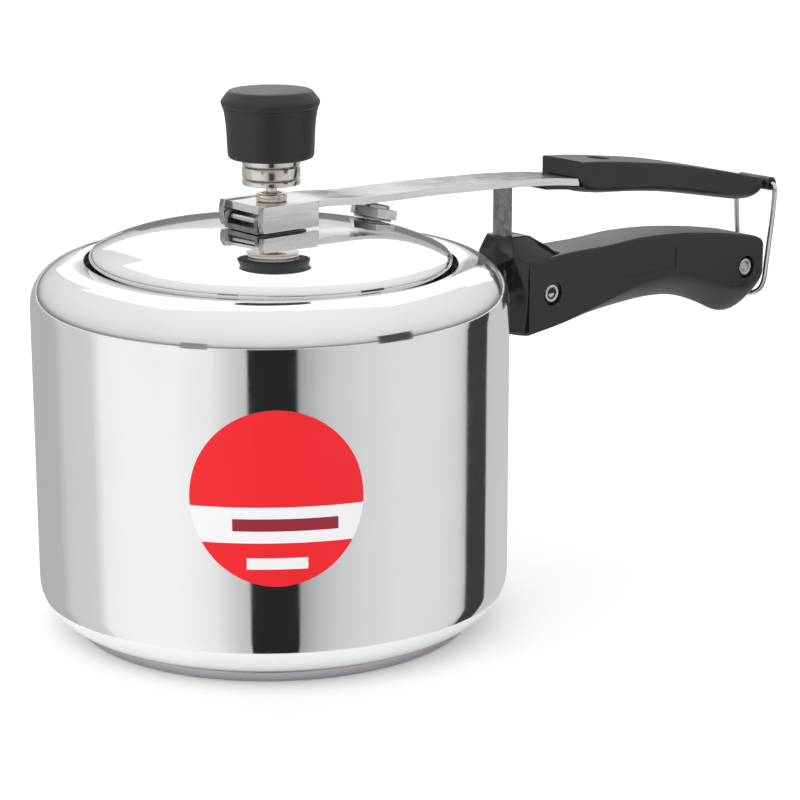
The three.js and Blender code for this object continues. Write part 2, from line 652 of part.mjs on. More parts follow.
function regulatorNeedle() {
  const { socket, seat, coreTop } = regulator;
  const radius = socket - GAP;
  return turned([[0, seat], [0.5, seat], [radius, seat + 2], [radius, coreTop - 1], [0, coreTop - 1]]);
}

// ---------------------------------------------------------------- assembly
const cooker = new THREE.Group();

cooker.add(
  mesh("vessel_body", vesselBody(), polishedAluminium),
  mesh("base_plate", basePlateDisc(), polishedAluminium),
  mesh("front_sticker", frontSticker(), redFilm),
  mesh("body_bracket", bodyBracket(), dullSteel),
  mesh("bracket_rivet_near", bracketRivet(-rivet.y), platedSteel),
  mesh("bracket_rivet_far", bracketRivet(rivet.y), platedSteel),
  mesh("body_handle", bodyHandleGrip(), blackPlastic),
);
for (const [place, at] of Object.entries(bolts)) {
  cooker.add(
    mesh(`handle_bolt_${place}`, handleBolt(at), platedSteel),
    mesh(`handle_nut_${place}`, handleNut(at), platedSteel),
  );
}

const lever = new THREE.Group();
lever.add(
  mesh("lever_bar", leverBar(), platedSteel),
  onVentAxis(mesh("vent_collar", ventCollar(), platedSteel)),
  mesh("hinge_pin", barAlongY(pin.radius, -pin.halfLength, pin.halfLength, pin.x, pin.z), platedSteel),
  mesh("lid_handle", lidHandleGrip(), blackPlastic),
  mesh("lid_handle_screw", lidHandleScrew(), platedSteel),
  mesh("lid_handle_nut", lidHandleNut(), platedSteel),
  mesh("latch_loop", latchLoop(), platedSteel),
);

const lidAssembly = new THREE.Group();
lidAssembly.add(
  mesh("lid_plate", lidPlate(), polishedAluminium),
  mesh("sealing_gasket", sealingGasket(), blackRubber),
  mesh("lid_bracket", lidBracket(), dullSteel),
  mesh("lid_rivet_near", clevisRivet(lidRivets[0]), platedSteel),
  mesh("lid_rivet_far", clevisRivet(lidRivets[1]), platedSteel),
  onVentAxis(mesh("vent_tube", ventTube(), platedSteel)),
  onVentAxis(mesh("vent_washer", ventWasher(), softAlloy)),
  onVentAxis(mesh("vent_nut", ventNut(), platedSteel)),
  onValveSeat(mesh("safety_valve", safetyValve(), platedSteel)),
  onValveSeat(mesh("valve_plug", disc(valve.bore - GAP, -7, valve.tierTop - 0.5), softAlloy)),
  onValveSeat(mesh("valve_washer", ring(valve.shank + GAP, valve.washerRadius, GAP, valve.washerTop), softAlloy)),
  onValveSeat(mesh("valve_nut", cut(hexagon(6, -6.2, -3.2), disc(valve.shank + GAP, -10, 0)), platedSteel)),
);

const regulatorAssembly = onVentAxis(new THREE.Group());
regulatorAssembly.add(
  mesh("regulator_knob", regulatorKnob(), blackPlastic),
  mesh("regulator_weight", regulatorWeight(), platedSteel),
  mesh("regulator_needle", regulatorNeedle(), platedSteel),
);

cooker.add(lever, lidAssembly, regulatorAssembly);

export default cooker;
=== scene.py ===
"""Looks of the stovetop pressure cooker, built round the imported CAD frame.

Shapes are written in millimetres and handed to Blender in metres. The origin is the centre of
the base, +Z is up and the handles point along +X.
"""
from math import atan2, ceil, cos, pi, radians, sin, sqrt, tan

import bmesh
import bpy
from mathutils import Matrix, Vector


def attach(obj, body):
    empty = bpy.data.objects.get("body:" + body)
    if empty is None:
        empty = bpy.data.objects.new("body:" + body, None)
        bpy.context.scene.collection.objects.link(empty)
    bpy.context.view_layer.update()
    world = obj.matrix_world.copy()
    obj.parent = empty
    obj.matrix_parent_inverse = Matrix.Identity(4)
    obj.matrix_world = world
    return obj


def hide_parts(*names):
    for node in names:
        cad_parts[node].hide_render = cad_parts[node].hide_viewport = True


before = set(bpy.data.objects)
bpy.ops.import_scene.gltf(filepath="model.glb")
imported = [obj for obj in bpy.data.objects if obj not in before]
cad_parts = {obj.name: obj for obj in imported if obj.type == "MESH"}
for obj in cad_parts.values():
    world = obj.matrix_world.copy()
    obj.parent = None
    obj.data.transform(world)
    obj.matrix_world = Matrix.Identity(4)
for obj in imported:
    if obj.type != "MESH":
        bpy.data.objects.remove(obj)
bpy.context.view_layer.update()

MM = 0.001

# ------------------------------------------------------------------ the CAD's driving dimensions
GAP = 0.3
VESSEL = dict(radius=92, wall=2.6, top=143, shoulder=15.5, corner=16, floor=2.6)
BASE = dict(radius=78.3, thickness=4, chamfer=1)
MOUTH = (69, 76)
# half_width is measured straight across; wrap is how much longer the film runs round the wall.
STICKER = dict(half_width=31, half_height=32.6, azimuth=radians(-126), height=74.5, stand_off=0.12,
               film=0.2, wrap=1.0205)
LID = dict(half_x=74, half_y=80.8, thickness=1.8, flange=137, plateau=73.6, crown=155.2,
           edge_round=4, edge_slope=radians(25))
SQUASH = LID["half_x"] / LID["half_y"]
VENT_X = 1
BAR = dict(half_width=11, thickness=3, front=-11.5, tongue_start=152.6, tongue_end=206,
           tongue_half=8)
CHEEK = dict(front=-13.1, bulge=0.9, back=13, bottom=156.1, top=166.1, inner=10.8, outer=14)
COLLAR = dict(radius=6, bore=3.8, top=168.7, shank=5)
BODY_HANDLE = dict(front=125, end=271, half_width=11.5, end_round=6)
LID_HANDLE = dict(front=153, end=269, half_width=12, taper_from=255, end_half=7)
LUG = dict(x=273.5, z=143.3, radius=3, half_length=9.3, bore=1.6)
BOLTS = {"front": (138.2, 112), "rear": (256.5, 107.8)}
BOLT = dict(stud=1.95, nut=3.75, nut_hole=2.45, head=3.9, cap=1.8, recess=5.1, depth=2.6)
SCREW = dict(x=174, hole=2.3, seat=160.4, recess=5)
WEIGHT = dict(disc=11.15, bottom=172, core=12, core_top=199, socket=2.6)
VALVE_X = 50.5


# ------------------------------------------------------------------ node helpers
def new_material(name):
    """An empty material with a Principled shader, and short calls to build its nodes."""
    mat = bpy.data.materials.new(name)
    mat.use_nodes = True
    tree = mat.node_tree
    shader = tree.nodes["Principled BSDF"]
    return mat, tree, shader


def node(tree, kind, inputs=None, **settings):
    made = tree.nodes.new(kind)
    for key, value in settings.items():
        setattr(made, key, value)
    for key, value in (inputs or {}).items():
        if isinstance(value, bpy.types.NodeSocket):
            tree.links.new(value, made.inputs[key])
        else:
            made.inputs[key].default_value = value
    return made


def place(tree):
    """Object coordinates in metres."""
    return node(tree, "ShaderNodeTexCoord").outputs["Object"]


def math_node(tree, operation, first, second=0.0):
    return node(tree, "ShaderNodeMath", {0: first, 1: second}, operation=operation).outputs[0]


def noise(tree, where, scale, detail=3.0, roughness=0.55):
    return node(tree, "ShaderNodeTexNoise", {"Vector": where, "Scale": scale, "Detail": detail,
                                             "Roughness": roughness}).outputs[0]


def stretch(tree, where, scale):
    return node(tree, "ShaderNodeMapping", {"Vector": where, "Scale": scale}).outputs[0]


def span(tree, value, low, high, from_low=0.3, from_high=0.7):
    """Maps noise onto a range of values."""
    return node(tree, "ShaderNodeMapRange", {"Value": value, "From Min": from_low,
                                             "From Max": from_high, "To Min": low,
                                             "To Max": high}).outputs[0]


# The Mix node's sockets when it blends colours.
MIX_FACTOR, MIX_FIRST, MIX_SECOND, MIX_RESULT = 0, 6, 7, 2


def ramp(tree, value, first, second):
    """Blends two colours. The first may come from another node."""
    under = first if isinstance(first, bpy.types.NodeSocket) else (*first, 1)
    sockets = {MIX_FACTOR: value, MIX_FIRST: under, MIX_SECOND: (*second, 1)}
    return node(tree, "ShaderNodeMix", sockets, data_type="RGBA").outputs[MIX_RESULT]


def bump(tree, shader, height, strength, distance):
    made = node(tree, "ShaderNodeBump", {"Height": height, "Strength": strength,
                                         "Distance": distance * MM})
    tree.links.new(made.outputs[0], shader.inputs["Normal"])


def turning_place(tree):
    """Coordinates that run along the cutter's track on a turned surface: rings, not specks."""
    split = node(tree, "ShaderNodeSeparateXYZ", {0: place(tree)})
    x, y, z = split.outputs
    radius = math_node(tree, "SQRT", math_node(tree, "ADD", math_node(tree, "MULTIPLY", x, x),
                                               math_node(tree, "MULTIPLY", y, y)))
    angle = math_node(tree, "MULTIPLY", math_node(tree, "ARCTAN2", y, x), 0.0015)
    return node(tree, "ShaderNodeCombineXYZ", {0: radius, 1: angle, 2: z}).outputs[0]


# ------------------------------------------------------------------ materials
def polished_metal(name, colour, rough, line_strength, line_scale=900.0, smudge=35.0):
    """Buffed metal: faint turning lines, drifting smudges and a slight tone change."""
    mat, tree, shader = new_material(name)
    where = place(tree)
    lines = noise(tree, turning_place(tree), line_scale, 2.0)
    smudges = noise(tree, where, smudge, 4.0)
    tone = ramp(tree, smudges, colour, tuple(c * 0.93 for c in colour))
    tree.links.new(tone, shader.inputs["Base Color"])
    level = math_node(tree, "ADD", span(tree, smudges, rough[0], rough[1]),
                      span(tree, lines, -0.012, 0.02))
    tree.links.new(level, shader.inputs["Roughness"])
    shader.inputs["Metallic"].default_value = 1.0
    bump(tree, shader, lines, line_strength, 0.02)
    return mat


def brushed_metal(name, colour, rough, along=(40.0, 900.0, 900.0), strength=0.12):
    """Drawn or ground metal: long scratches along one direction over a soft cloud."""
    mat, tree, shader = new_material(name)
    where = place(tree)
    grain = noise(tree, stretch(tree, where, along), 1.0, 3.0)
    cloud = noise(tree, where, 120.0, 3.0)
    tree.links.new(ramp(tree, grain, colour, tuple(c * 0.82 for c in colour)),
                   shader.inputs["Base Color"])
    level = math_node(tree, "ADD", span(tree, cloud, rough[0], rough[1]),
                      span(tree, grain, -0.03, 0.05))
    tree.links.new(level, shader.inputs["Roughness"])
    shader.inputs["Metallic"].default_value = 1.0
    bump(tree, shader, grain, strength, 0.05)
    return mat


def rough_steel(name, colour, dark):
    """Sawn and as-rolled steel: pits, specks and a few bright scratches."""
    mat, tree, shader = new_material(name)
    where = place(tree)
    specks = noise(tree, where, 1400.0, 4.0, 0.7)
    patches = noise(tree, where, 260.0, 4.0)
    mixed = math_node(tree, "MULTIPLY_ADD", specks, 0.6)
    tree.links.new(math_node(tree, "MULTIPLY", patches, 0.4), mixed.node.inputs[2])
    tree.links.new(ramp(tree, span(tree, mixed, 0.0, 1.0, 0.38, 0.62), colour, dark),
                   shader.inputs["Base Color"])
    tree.links.new(span(tree, patches, 0.28, 0.5), shader.inputs["Roughness"])
    shader.inputs["Metallic"].default_value = 1.0
    bump(tree, shader, mixed, 0.5, 0.12)
    return mat


def moulded_black(name, tone, rough, grain=2400.0, strength=0.12):
    """Moulded phenolic: a fine grain, flow marks, a little dust, and worn, paler edges."""
    mat, tree, shader = new_material(name)
    where = place(tree)
    fine = noise(tree, where, grain, 2.0)
    flow = noise(tree, stretch(tree, where, (30.0, 60.0, 60.0)), 1.0, 3.0)
    body = ramp(tree, flow, (tone, tone, tone * 1.06), (tone * 1.35, tone * 1.35, tone * 1.4))
    rounded = node(tree, "ShaderNodeBevel", {"Radius": 0.5 * MM}, samples=4).outputs[0]
    flat = node(tree, "ShaderNodeNewGeometry").outputs["Normal"]
    facing = node(tree, "ShaderNodeVectorMath", {0: rounded, 1: flat},
                  operation="DOT_PRODUCT").outputs[1]
    edge = span(tree, facing, 1.0, 0.0, 0.86, 0.995)
    scuff = math_node(tree, "MULTIPLY", edge, span(tree, noise(tree, where, 300.0), 0.0, 0.5))
    worn = ramp(tree, scuff, body, (tone * 4, tone * 4, tone * 4))
    tree.links.new(worn, shader.inputs["Base Color"])
    level = math_node(tree, "ADD", span(tree, flow, rough[0], rough[1]),
                      span(tree, fine, -0.03, 0.03))
    tree.links.new(level, shader.inputs["Roughness"])
    shader.inputs["Specular IOR Level"].default_value = 0.5
    bump(tree, shader, fine, strength, 0.03)
    return mat


def rubber(name):
    mat, tree, shader = new_material(name)
    where = place(tree)
    grain = noise(tree, where, 1500.0, 3.0)
    bloom = noise(tree, where, 90.0, 3.0)
    tree.links.new(ramp(tree, bloom, (0.012, 0.012, 0.012), (0.03, 0.029, 0.028)),
                   shader.inputs["Base Color"])
    tree.links.new(span(tree, grain, 0.6, 0.82), shader.inputs["Roughness"])
    bump(tree, shader, grain, 0.2, 0.05)
    return mat


def sticker_film(name):
    """Printed film in plain blocks: red, with a white band and two plain bars."""
    mat, tree, shader = new_material(name)
    where = place(tree)
    split = node(tree, "ShaderNodeSeparateXYZ", {0: where})
    x, y, z = split.outputs
    azimuth = STICKER["azimuth"]
    across = math_node(tree, "SUBTRACT", math_node(tree, "MULTIPLY", y, cos(azimuth)),
                       math_node(tree, "MULTIPLY", x, sin(azimuth)))

    def within(value, low, high):
        above = math_node(tree, "GREATER_THAN", value, low * MM)
        below = math_node(tree, "LESS_THAN", value, high * MM)
        return math_node(tree, "MULTIPLY", above, below)

    ink = noise(tree, where, 60.0, 3.0)
    red = ramp(tree, ink, (0.88, 0.012, 0.022), (0.80, 0.008, 0.016))
    white = (0.86, 0.85, 0.85)
    band = within(z, 58.2, 71.5)
    bar_in_band = math_node(tree, "MULTIPLY", within(z, 62.6, 67.2), within(across, -16, 22))
    bar_below = math_node(tree, "MULTIPLY", within(z, 48.4, 52.6), within(across, -11, 11))
    colour = ramp(tree, band, red, white)
    colour = ramp(tree, bar_in_band, colour, (0.30, 0.02, 0.035))
    colour = ramp(tree, bar_below, colour, white)
    tree.links.new(colour, shader.inputs["Base Color"])
    grain = noise(tree, where, 800.0, 3.0)
    tree.links.new(span(tree, grain, 0.32, 0.46), shader.inputs["Roughness"])
    shader.inputs["Coat Weight"].default_value = 0.06
    shader.inputs["Coat Roughness"].default_value = 0.15
    shader.inputs["Specular IOR Level"].default_value = 0.25
    bump(tree, shader, grain, 0.05, 0.03)
    return mat


ALUMINIUM = (0.91, 0.912, 0.918)
polished = polished_metal("polished_aluminium", ALUMINIUM, (0.055, 0.10), 0.05)
mirror = polished_metal("mirror_aluminium", ALUMINIUM, (0.03, 0.07), 0.03)
base_metal = polished_metal("base_aluminium", (0.42, 0.40, 0.43), (0.16, 0.26), 0.2, 500.0)
inner_metal = polished_metal("satin_aluminium", (0.80, 0.80, 0.80), (0.22, 0.32), 0.25, 500.0)
turned_steel = polished_metal("turned_steel", (0.72, 0.68, 0.64), (0.10, 0.18), 0.15, 1500.0, 90.0)
bar_steel = brushed_metal("bar_steel", (0.84, 0.83, 0.81), (0.14, 0.22), (25.0, 700.0, 700.0), 0.06)
cheek_steel = brushed_metal("cheek_steel", (0.80, 0.79, 0.78), (0.16, 0.26), (50.0, 900.0, 900.0),
                            0.3)
sawn_steel = rough_steel("sawn_steel", (0.62, 0.61, 0.60), (0.20, 0.20, 0.20))
post_steel = rough_steel("post_steel", (0.36, 0.35, 0.34), (0.16, 0.155, 0.15))
wire_steel = brushed_metal("wire_steel", (0.78, 0.77, 0.75), (0.12, 0.2), (300.0, 300.0, 60.0), 0.05)
fixing_steel = brushed_metal("fixing_steel", (0.72, 0.71, 0.69), (0.2, 0.34), (700.0, 60.0, 700.0),
                             0.2)
handle_black = moulded_black("handle_phenolic", 0.0125, (0.34, 0.42))
gloss_black = moulded_black("handle_phenolic_gloss", 0.008, (0.13, 0.2), 1800.0, 0.04)
knob_black = moulded_black("knob_phenolic", 0.011, (0.40, 0.50))
black_rubber = rubber("black_rubber")
red_film = sticker_film("sticker_film")
soft_alloy = rough_steel("soft_alloy", (0.60, 0.60, 0.61), (0.42, 0.42, 0.43))


# ------------------------------------------------------------------ mesh helpers
def sharp_by_angle(mesh, degrees=32):
    """Smooth shading, with the edges that really turn kept sharp."""
    work = bmesh.new()
    work.from_mesh(mesh)
    bmesh.ops.recalc_face_normals(work, faces=work.faces)
    limit = radians(degrees)
    for face in work.faces:
        face.smooth = True
    for edge in work.edges:
        edge.smooth = edge.is_manifold and edge.calc_face_angle(0.0) < limit
    work.to_mesh(mesh)
    work.free()


def piece(name, shape, material, body, slot, *replaced, sharp=32, rides=True):
    """A Blender object from vertices in millimetres and faces. A cutting tool rides on no body."""
    points, faces = shape
    mesh = bpy.data.meshes.new(name)
    mesh.from_pydata([Vector(p) * MM for p in points], [], faces)
    mesh.validate()
    sharp_by_angle(mesh, sharp)
    obj = bpy.data.objects.new(name, mesh)
    bpy.context.scene.collection.objects.link(obj)
    obj.data.materials.append(material)
    if rides:
        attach(obj, body)
        if replaced:
            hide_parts(*replaced)
    return obj


def bevelled(obj, width, segments=3, angle=35):
    made = obj.modifiers.new("rounded edges", "BEVEL")
    made.width = width * MM
    made.segments = segments
    made.limit_method = "ANGLE"
    made.angle_limit = radians(angle)
    return obj


def even_shading(obj):
    """Keeps large flat faces flat beside the small faces at their edges."""
    sharp_by_angle(obj.data, 18)
    made = obj.modifiers.new("even shading", "WEIGHTED_NORMAL")
    made.keep_sharp = True
    return obj


def settle(obj, sharp=32):
    """Turns the modifiers of an object into its mesh."""
    bpy.context.view_layer.update()
    graph = bpy.context.evaluated_depsgraph_get()
    mesh = bpy.data.meshes.new_from_object(obj.evaluated_get(graph))
    old = obj.data
    obj.modifiers.clear()
    obj.data = mesh
    bpy.data.meshes.remove(old)
    mesh.name = obj.name
    sharp_by_angle(mesh, sharp)
    return obj


def carve(obj, *cutters, operation="DIFFERENCE"):
    """Cuts plain shapes from an object, or joins them to it."""
    spare = []
    for index, shape in enumerate(cutters):
        tool = piece(f"tool_{index}", shape, obj.data.materials[0], None, None, rides=False)
        made = obj.modifiers.new("carve", "BOOLEAN")
        made.operation = operation
        made.solver = "EXACT"
        made.object = tool
        spare.append(tool)
    settle(obj)
    for tool in spare:
        mesh = tool.data
        bpy.data.objects.remove(tool)
        bpy.data.meshes.remove(mesh)
    return obj


def revolve(profile, steps, squash=1.0, centre=(0.0, 0.0)):
    """Turns [radius, height] points about the Z axis. Points on the axis become single vertices."""
    points, rings, faces = [], [], []
    for radius, height in profile:
        if radius < 1e-9:
            rings.append([len(points)])
            points.append((centre[0], centre[1], height))
            continue
        rings.append(list(range(len(points), len(points) + steps)))
        for i in range(steps):
            angle = 2 * pi * i / steps
            points.append((centre[0] + radius * cos(angle) * squash,
                           centre[1] + radius * sin(angle), height))
    pairs = list(zip(rings, rings[1:]))
    if not (len(rings[0]) == 1 and len(rings[-1]) == 1):
        pairs.append((rings[-1], rings[0]))
    for lower, upper in pairs:
        faces.extend(bridge(lower, upper, steps))
    return points, faces


def bridge(lower, upper, steps):
    """Faces between two rings; either may be a single vertex."""
    made = []
    for i in range(steps):
        j = (i + 1) % steps
        if len(lower) == 1 and len(upper) == 1:
            continue
        if len(lower) == 1:
            made.append((lower[0], upper[j], upper[i]))
        elif len(upper) == 1:
            made.append((lower[i], lower[j], upper[0]))
        else:
            made.append((lower[i], lower[j], upper[j], upper[i]))
    return made


def prism(outline, from_y, to_y):
    """A side outline of [x, z] points, given a width in Y."""
    count = len(outline)
    points = [(x, from_y, z) for x, z in outline] + [(x, to_y, z) for x, z in outline]
    faces = [tuple(range(count)), tuple(reversed(range(count, 2 * count)))]
    for i in range(count):
        j = (i + 1) % count
        faces.append((i, j, count + j, count + i))
    return points, faces


def plate(outline, bottom, top):
    """A plan outline of [x, y] points, given a thickness in Z."""
    count = len(outline)
    points = [(x, y, bottom) for x, y in outline] + [(x, y, top) for x, y in outline]
    faces = [tuple(reversed(range(count))), tuple(range(count, 2 * count))]
    for i in range(count):
        j = (i + 1) % count
        faces.append((i, j, count + j, count + i))
    return points, faces


def block(x0, x1, y0, y1, z0, z1):
    return prism([(x0, z0), (x1, z0), (x1, z1), (x0, z1)], y0, y1)


def round_bar(radius, from_y, to_y, x, z, steps=48):
    outline = [(x + radius * cos(2 * pi * i / steps), z + radius * sin(2 * pi * i / steps))
               for i in range(steps)]
    return prism(outline, from_y, to_y)


def drill(radius, bottom, top, steps, x=0.0):
    """An upright cylinder on the X axis."""
    return revolve([(0, bottom), (radius, bottom), (radius, top), (0, top)], steps, centre=(x, 0))


def arc(centre_r, centre_z, radius, start, end, steps):
    """Points on a circle between two angles in degrees."""
    return [(centre_r + radius * cos(radians(start + (end - start) * i / steps)),
             centre_z + radius * sin(radians(start + (end - start) * i / steps)))
            for i in range(steps + 1)]


def softened(profile, radius=0.35, steps=3):
    """Rounds the corners of a closed turned profile; corners on the axis stay."""
    made = []
    count = len(profile)
    for i, corner in enumerate(profile):
        if corner[0] < 1e-9:
            made.append(corner)
            continue
        here = Vector(corner)
        before = Vector(profile[i - 1]) - here
        after = Vector(profile[(i + 1) % count]) - here
        reach = min(radius, before.length * 0.45, after.length * 0.45)
        first = here + before.normalized() * reach
        last = here + after.normalized() * reach
        for k in range(steps + 1):
            t = k / steps
            point = first * (1 - t) ** 2 + here * 2 * t * (1 - t) + last * t ** 2
            made.append((point.x, point.y))
    return made


def height_through(points):
    """A smooth height for any x, through [x, z] points in rising order of x."""
    def slope(i):
        x0, z0 = points[max(i - 1, 0)]
        x1, z1 = points[min(i + 1, len(points) - 1)]
        return (z1 - z0) / (x1 - x0)

    def height(x):
        i = 0
        while i < len(points) - 2 and x > points[i + 1][0]:
            i += 1
        (x0, z0), (x1, z1) = points[i], points[i + 1]
        width = x1 - x0
        t = (x - x0) / width
        return (z0 + (z1 - z0) * t * t * (3 - 2 * t) + slope(i) * width * t * (1 - t) ** 2
                - slope(i + 1) * width * t * t * (1 - t))
    return height


# ------------------------------------------------------------------ vessel
def ring_points(radius_x, radius_y, height, steps):
    return [(radius_x * cos(2 * pi * i / steps), radius_y * sin(2 * pi * i / steps), height)
            for i in range(steps)]


def vessel_shape(steps=240):
    """Rings that go round the drawn wall, over the shoulder and down into the oval mouth."""
    radius, wall, top = VESSEL["radius"], VESSEL["wall"], VESSEL["top"]
    shoulder, corner, floor = VESSEL["shoulder"], VESSEL["corner"], VESSEL["floor"]
    bottom = BASE["thickness"] + GAP
    flat = radius - shoulder
    outside = [(r, z) for r, z in arc(radius - corner, bottom + corner, corner, -90, 0, 14)]
    outside += [(radius, bottom + corner + (top - shoulder - bottom - corner) * i / 8)
                for i in range(1, 8)]
    outside += arc(flat, top - shoulder, shoulder, 0, 90, 22)
    inside = arc(flat, top - shoulder, shoulder - wall, 90, 0, 16)
    inside += arc(radius - corner, bottom + corner, corner - floor, 0, -90, 10)
    rings = [[(0, 0, bottom)]]
    rings += [ring_points(r, r, z, steps) for r, z in [(40, bottom)] + outside]
    lip_x, lip_y = MOUTH
    for inset, drop in [(0.45, 0), (0.12, 0.12), (0, 0.45), (0, wall - 0.45), (0.12, wall - 0.12),
                        (0.45, wall)]:
        rings.append(ring_points(lip_x + inset, lip_y + inset, top - drop, steps))
    rings += [ring_points(r, r, z, steps) for r, z in inside + [(40, bottom + floor)]]
    rings.append([(0, 0, bottom + floor)])
    points, index = [], []
    for ring in rings:
        index.append(list(range(len(points), len(points) + len(ring))))
        points.extend(ring)
    faces = []
    for lower, upper in zip(index, index[1:]):
        faces.extend(bridge(lower, upper, steps))
    return points, faces


vessel = piece("vessel_shell", vessel_shape(), polished, "body", "polished_aluminium", "vessel_body")
vessel.data.materials.append(inner_metal)
FLOOR_FACES_BELOW, WALL_FACES_ABOVE, WALL_FACES_BELOW = 8, 6, 139.5
for face in vessel.data.polygons:
    middle = face.center / MM
    flat_radius = sqrt(middle.x ** 2 + middle.y ** 2)
    wall_inside = (flat_radius < VESSEL["radius"] - 1.5
                   and WALL_FACES_ABOVE < middle.z < WALL_FACES_BELOW)
    inward = face.normal.x * middle.x + face.normal.y * middle.y < 0
    inner_floor = middle.z < FLOOR_FACES_BELOW and face.normal.z > 0.5
    if (wall_inside and inward) or inner_floor:
        face.material_index = 1


def base_profile():
    radius, thickness, chamfer = BASE["radius"], BASE["thickness"], BASE["chamfer"]
    rim = softened([(radius - chamfer, 0), (radius, chamfer), (radius, thickness), (70, thickness)],
                   0.3)
    return [(0, 0), (60, 0), *rim, (60, thickness), (0, thickness)]


piece("base_disc", revolve(base_profile(), 240), base_metal, "body", "polished_aluminium",
      "base_plate")


def sticker_shape(rows=40, columns=72):
    """A thin disc of film wrapped on the wall, built in rings so its edge is smooth."""
    inner = VESSEL["radius"] + STICKER["stand_off"]
    points, faces = [], []
    for radius in (inner, inner + STICKER["film"]):
        for ring in range(rows + 1):
            for i in range(columns):
                t = ring / rows
                across = STICKER["half_width"] * t * cos(2 * pi * i / columns)
                up = STICKER["half_height"] * t * sin(2 * pi * i / columns)
                angle = STICKER["azimuth"] + across / VESSEL["radius"] * STICKER["wrap"]
                points.append((radius * cos(angle), radius * sin(angle), STICKER["height"] + up))
    per = (rows + 1) * columns
    for layer in (0, 1):
        for ring in range(rows):
            for i in range(columns):
                j = (i + 1) % columns
                a = layer * per + ring * columns
                quad = (a + i, a + j, a + columns + j, a + columns + i)
                faces.append(quad if layer else tuple(reversed(quad)))
    edge = rows * columns
    for i in range(columns):
        j = (i + 1) % columns
        faces.append((edge + i, edge + j, per + edge + j, per + edge + i))
    return points, faces


sticker = piece("label_film", sticker_shape(), red_film, "body", "sticker_film", "front_sticker")
work = bmesh.new()
work.from_mesh(sticker.data)
bmesh.ops.remove_doubles(work, verts=work.verts, dist=1e-7)
bmesh.ops.recalc_face_normals(work, faces=work.faces)
work.to_mesh(sticker.data)
work.free()


# ------------------------------------------------------------------ handles
def handle_shape(front, end, half_width, top, edge, bottom, corner, crease, steps=110, under=24,
                 round_steps=5):
    """One section carried along X. Its size follows the side and plan outlines.

    corner is how far the top edges are rounded, and crease how full the underside is: 1 would be
    a plain V and 2 a half round.
    """
    section = [(1, 0)]
    for k in range(round_steps + 1):
        t = k / round_steps
        section.append((1 - corner * t * t, 1 - corner * (1 - t) ** 2))
    for k in range(1, 8):
        section.append((1 - corner - (2 - 2 * corner) * k / 8, 1))
    for k in range(round_steps + 1):
        t = k / round_steps
        section.append((corner - 1 - corner * (1 - (1 - t) ** 2), 1 - corner * t * t))
    section.append((-1, 0))
    for k in range(1, under):
        angle = pi + pi * k / under
        across, down = cos(angle), sin(angle)
        pinch = (abs(across) ** crease + abs(down) ** crease) ** (-1 / crease)
        section.append((across * pinch, down * pinch))
    count = len(section)
    points, faces = [], []
    for s in range(steps + 1):
        x = front + (end - front) * sin(s / steps * pi / 2) ** 1.2
        side = edge(x)
        for across, up in section:
            z = side + (top(x) - side) * up if up >= 0 else side + (side - bottom(x)) * up
            points.append((x, across * half_width(x), z))
    for s in range(steps):
        for i in range(count):
            j = (i + 1) % count
            a, b = s * count, (s + 1) * count
            faces.append((a + i, a + j, b + j, b + i))
    faces.append(tuple(range(count)))
    faces.append(tuple(reversed(range(steps * count, (steps + 1) * count))))
    return points, faces


body_top = height_through([(125, 125.4), (140, 127.6), (152, 128.3), (170, 128.4), (191, 129.3),
                           (213, 128.4), (236, 125.8), (257, 122.4), (264, 120.6), (268.5, 117.5),
                           (271, 112.5)])
body_edge = height_through([(125, 96), (145, 98.8), (165, 103.3), (181, 106.9), (197, 109.6),
                            (211, 109.6), (226, 106.8), (243, 102), (258, 99.5), (266, 102),
                            (271, 107)])
body_bottom = height_through([(125, 94.5), (145, 96.2), (160, 97.3), (180, 98.8), (198, 99.8),
                              (213, 99.4), (224, 97.4), (236, 93), (247, 88), (254, 86.5),
                              (260, 87.2), (265, 90.5), (269, 95.5), (271, 101)])


def body_half_width(x):
    past = max(0.0, x - (BODY_HANDLE["end"] - BODY_HANDLE["end_round"]))
    return (BODY_HANDLE["half_width"] - BODY_HANDLE["end_round"]
            + sqrt(max(0.0, BODY_HANDLE["end_round"] ** 2 - past ** 2)))


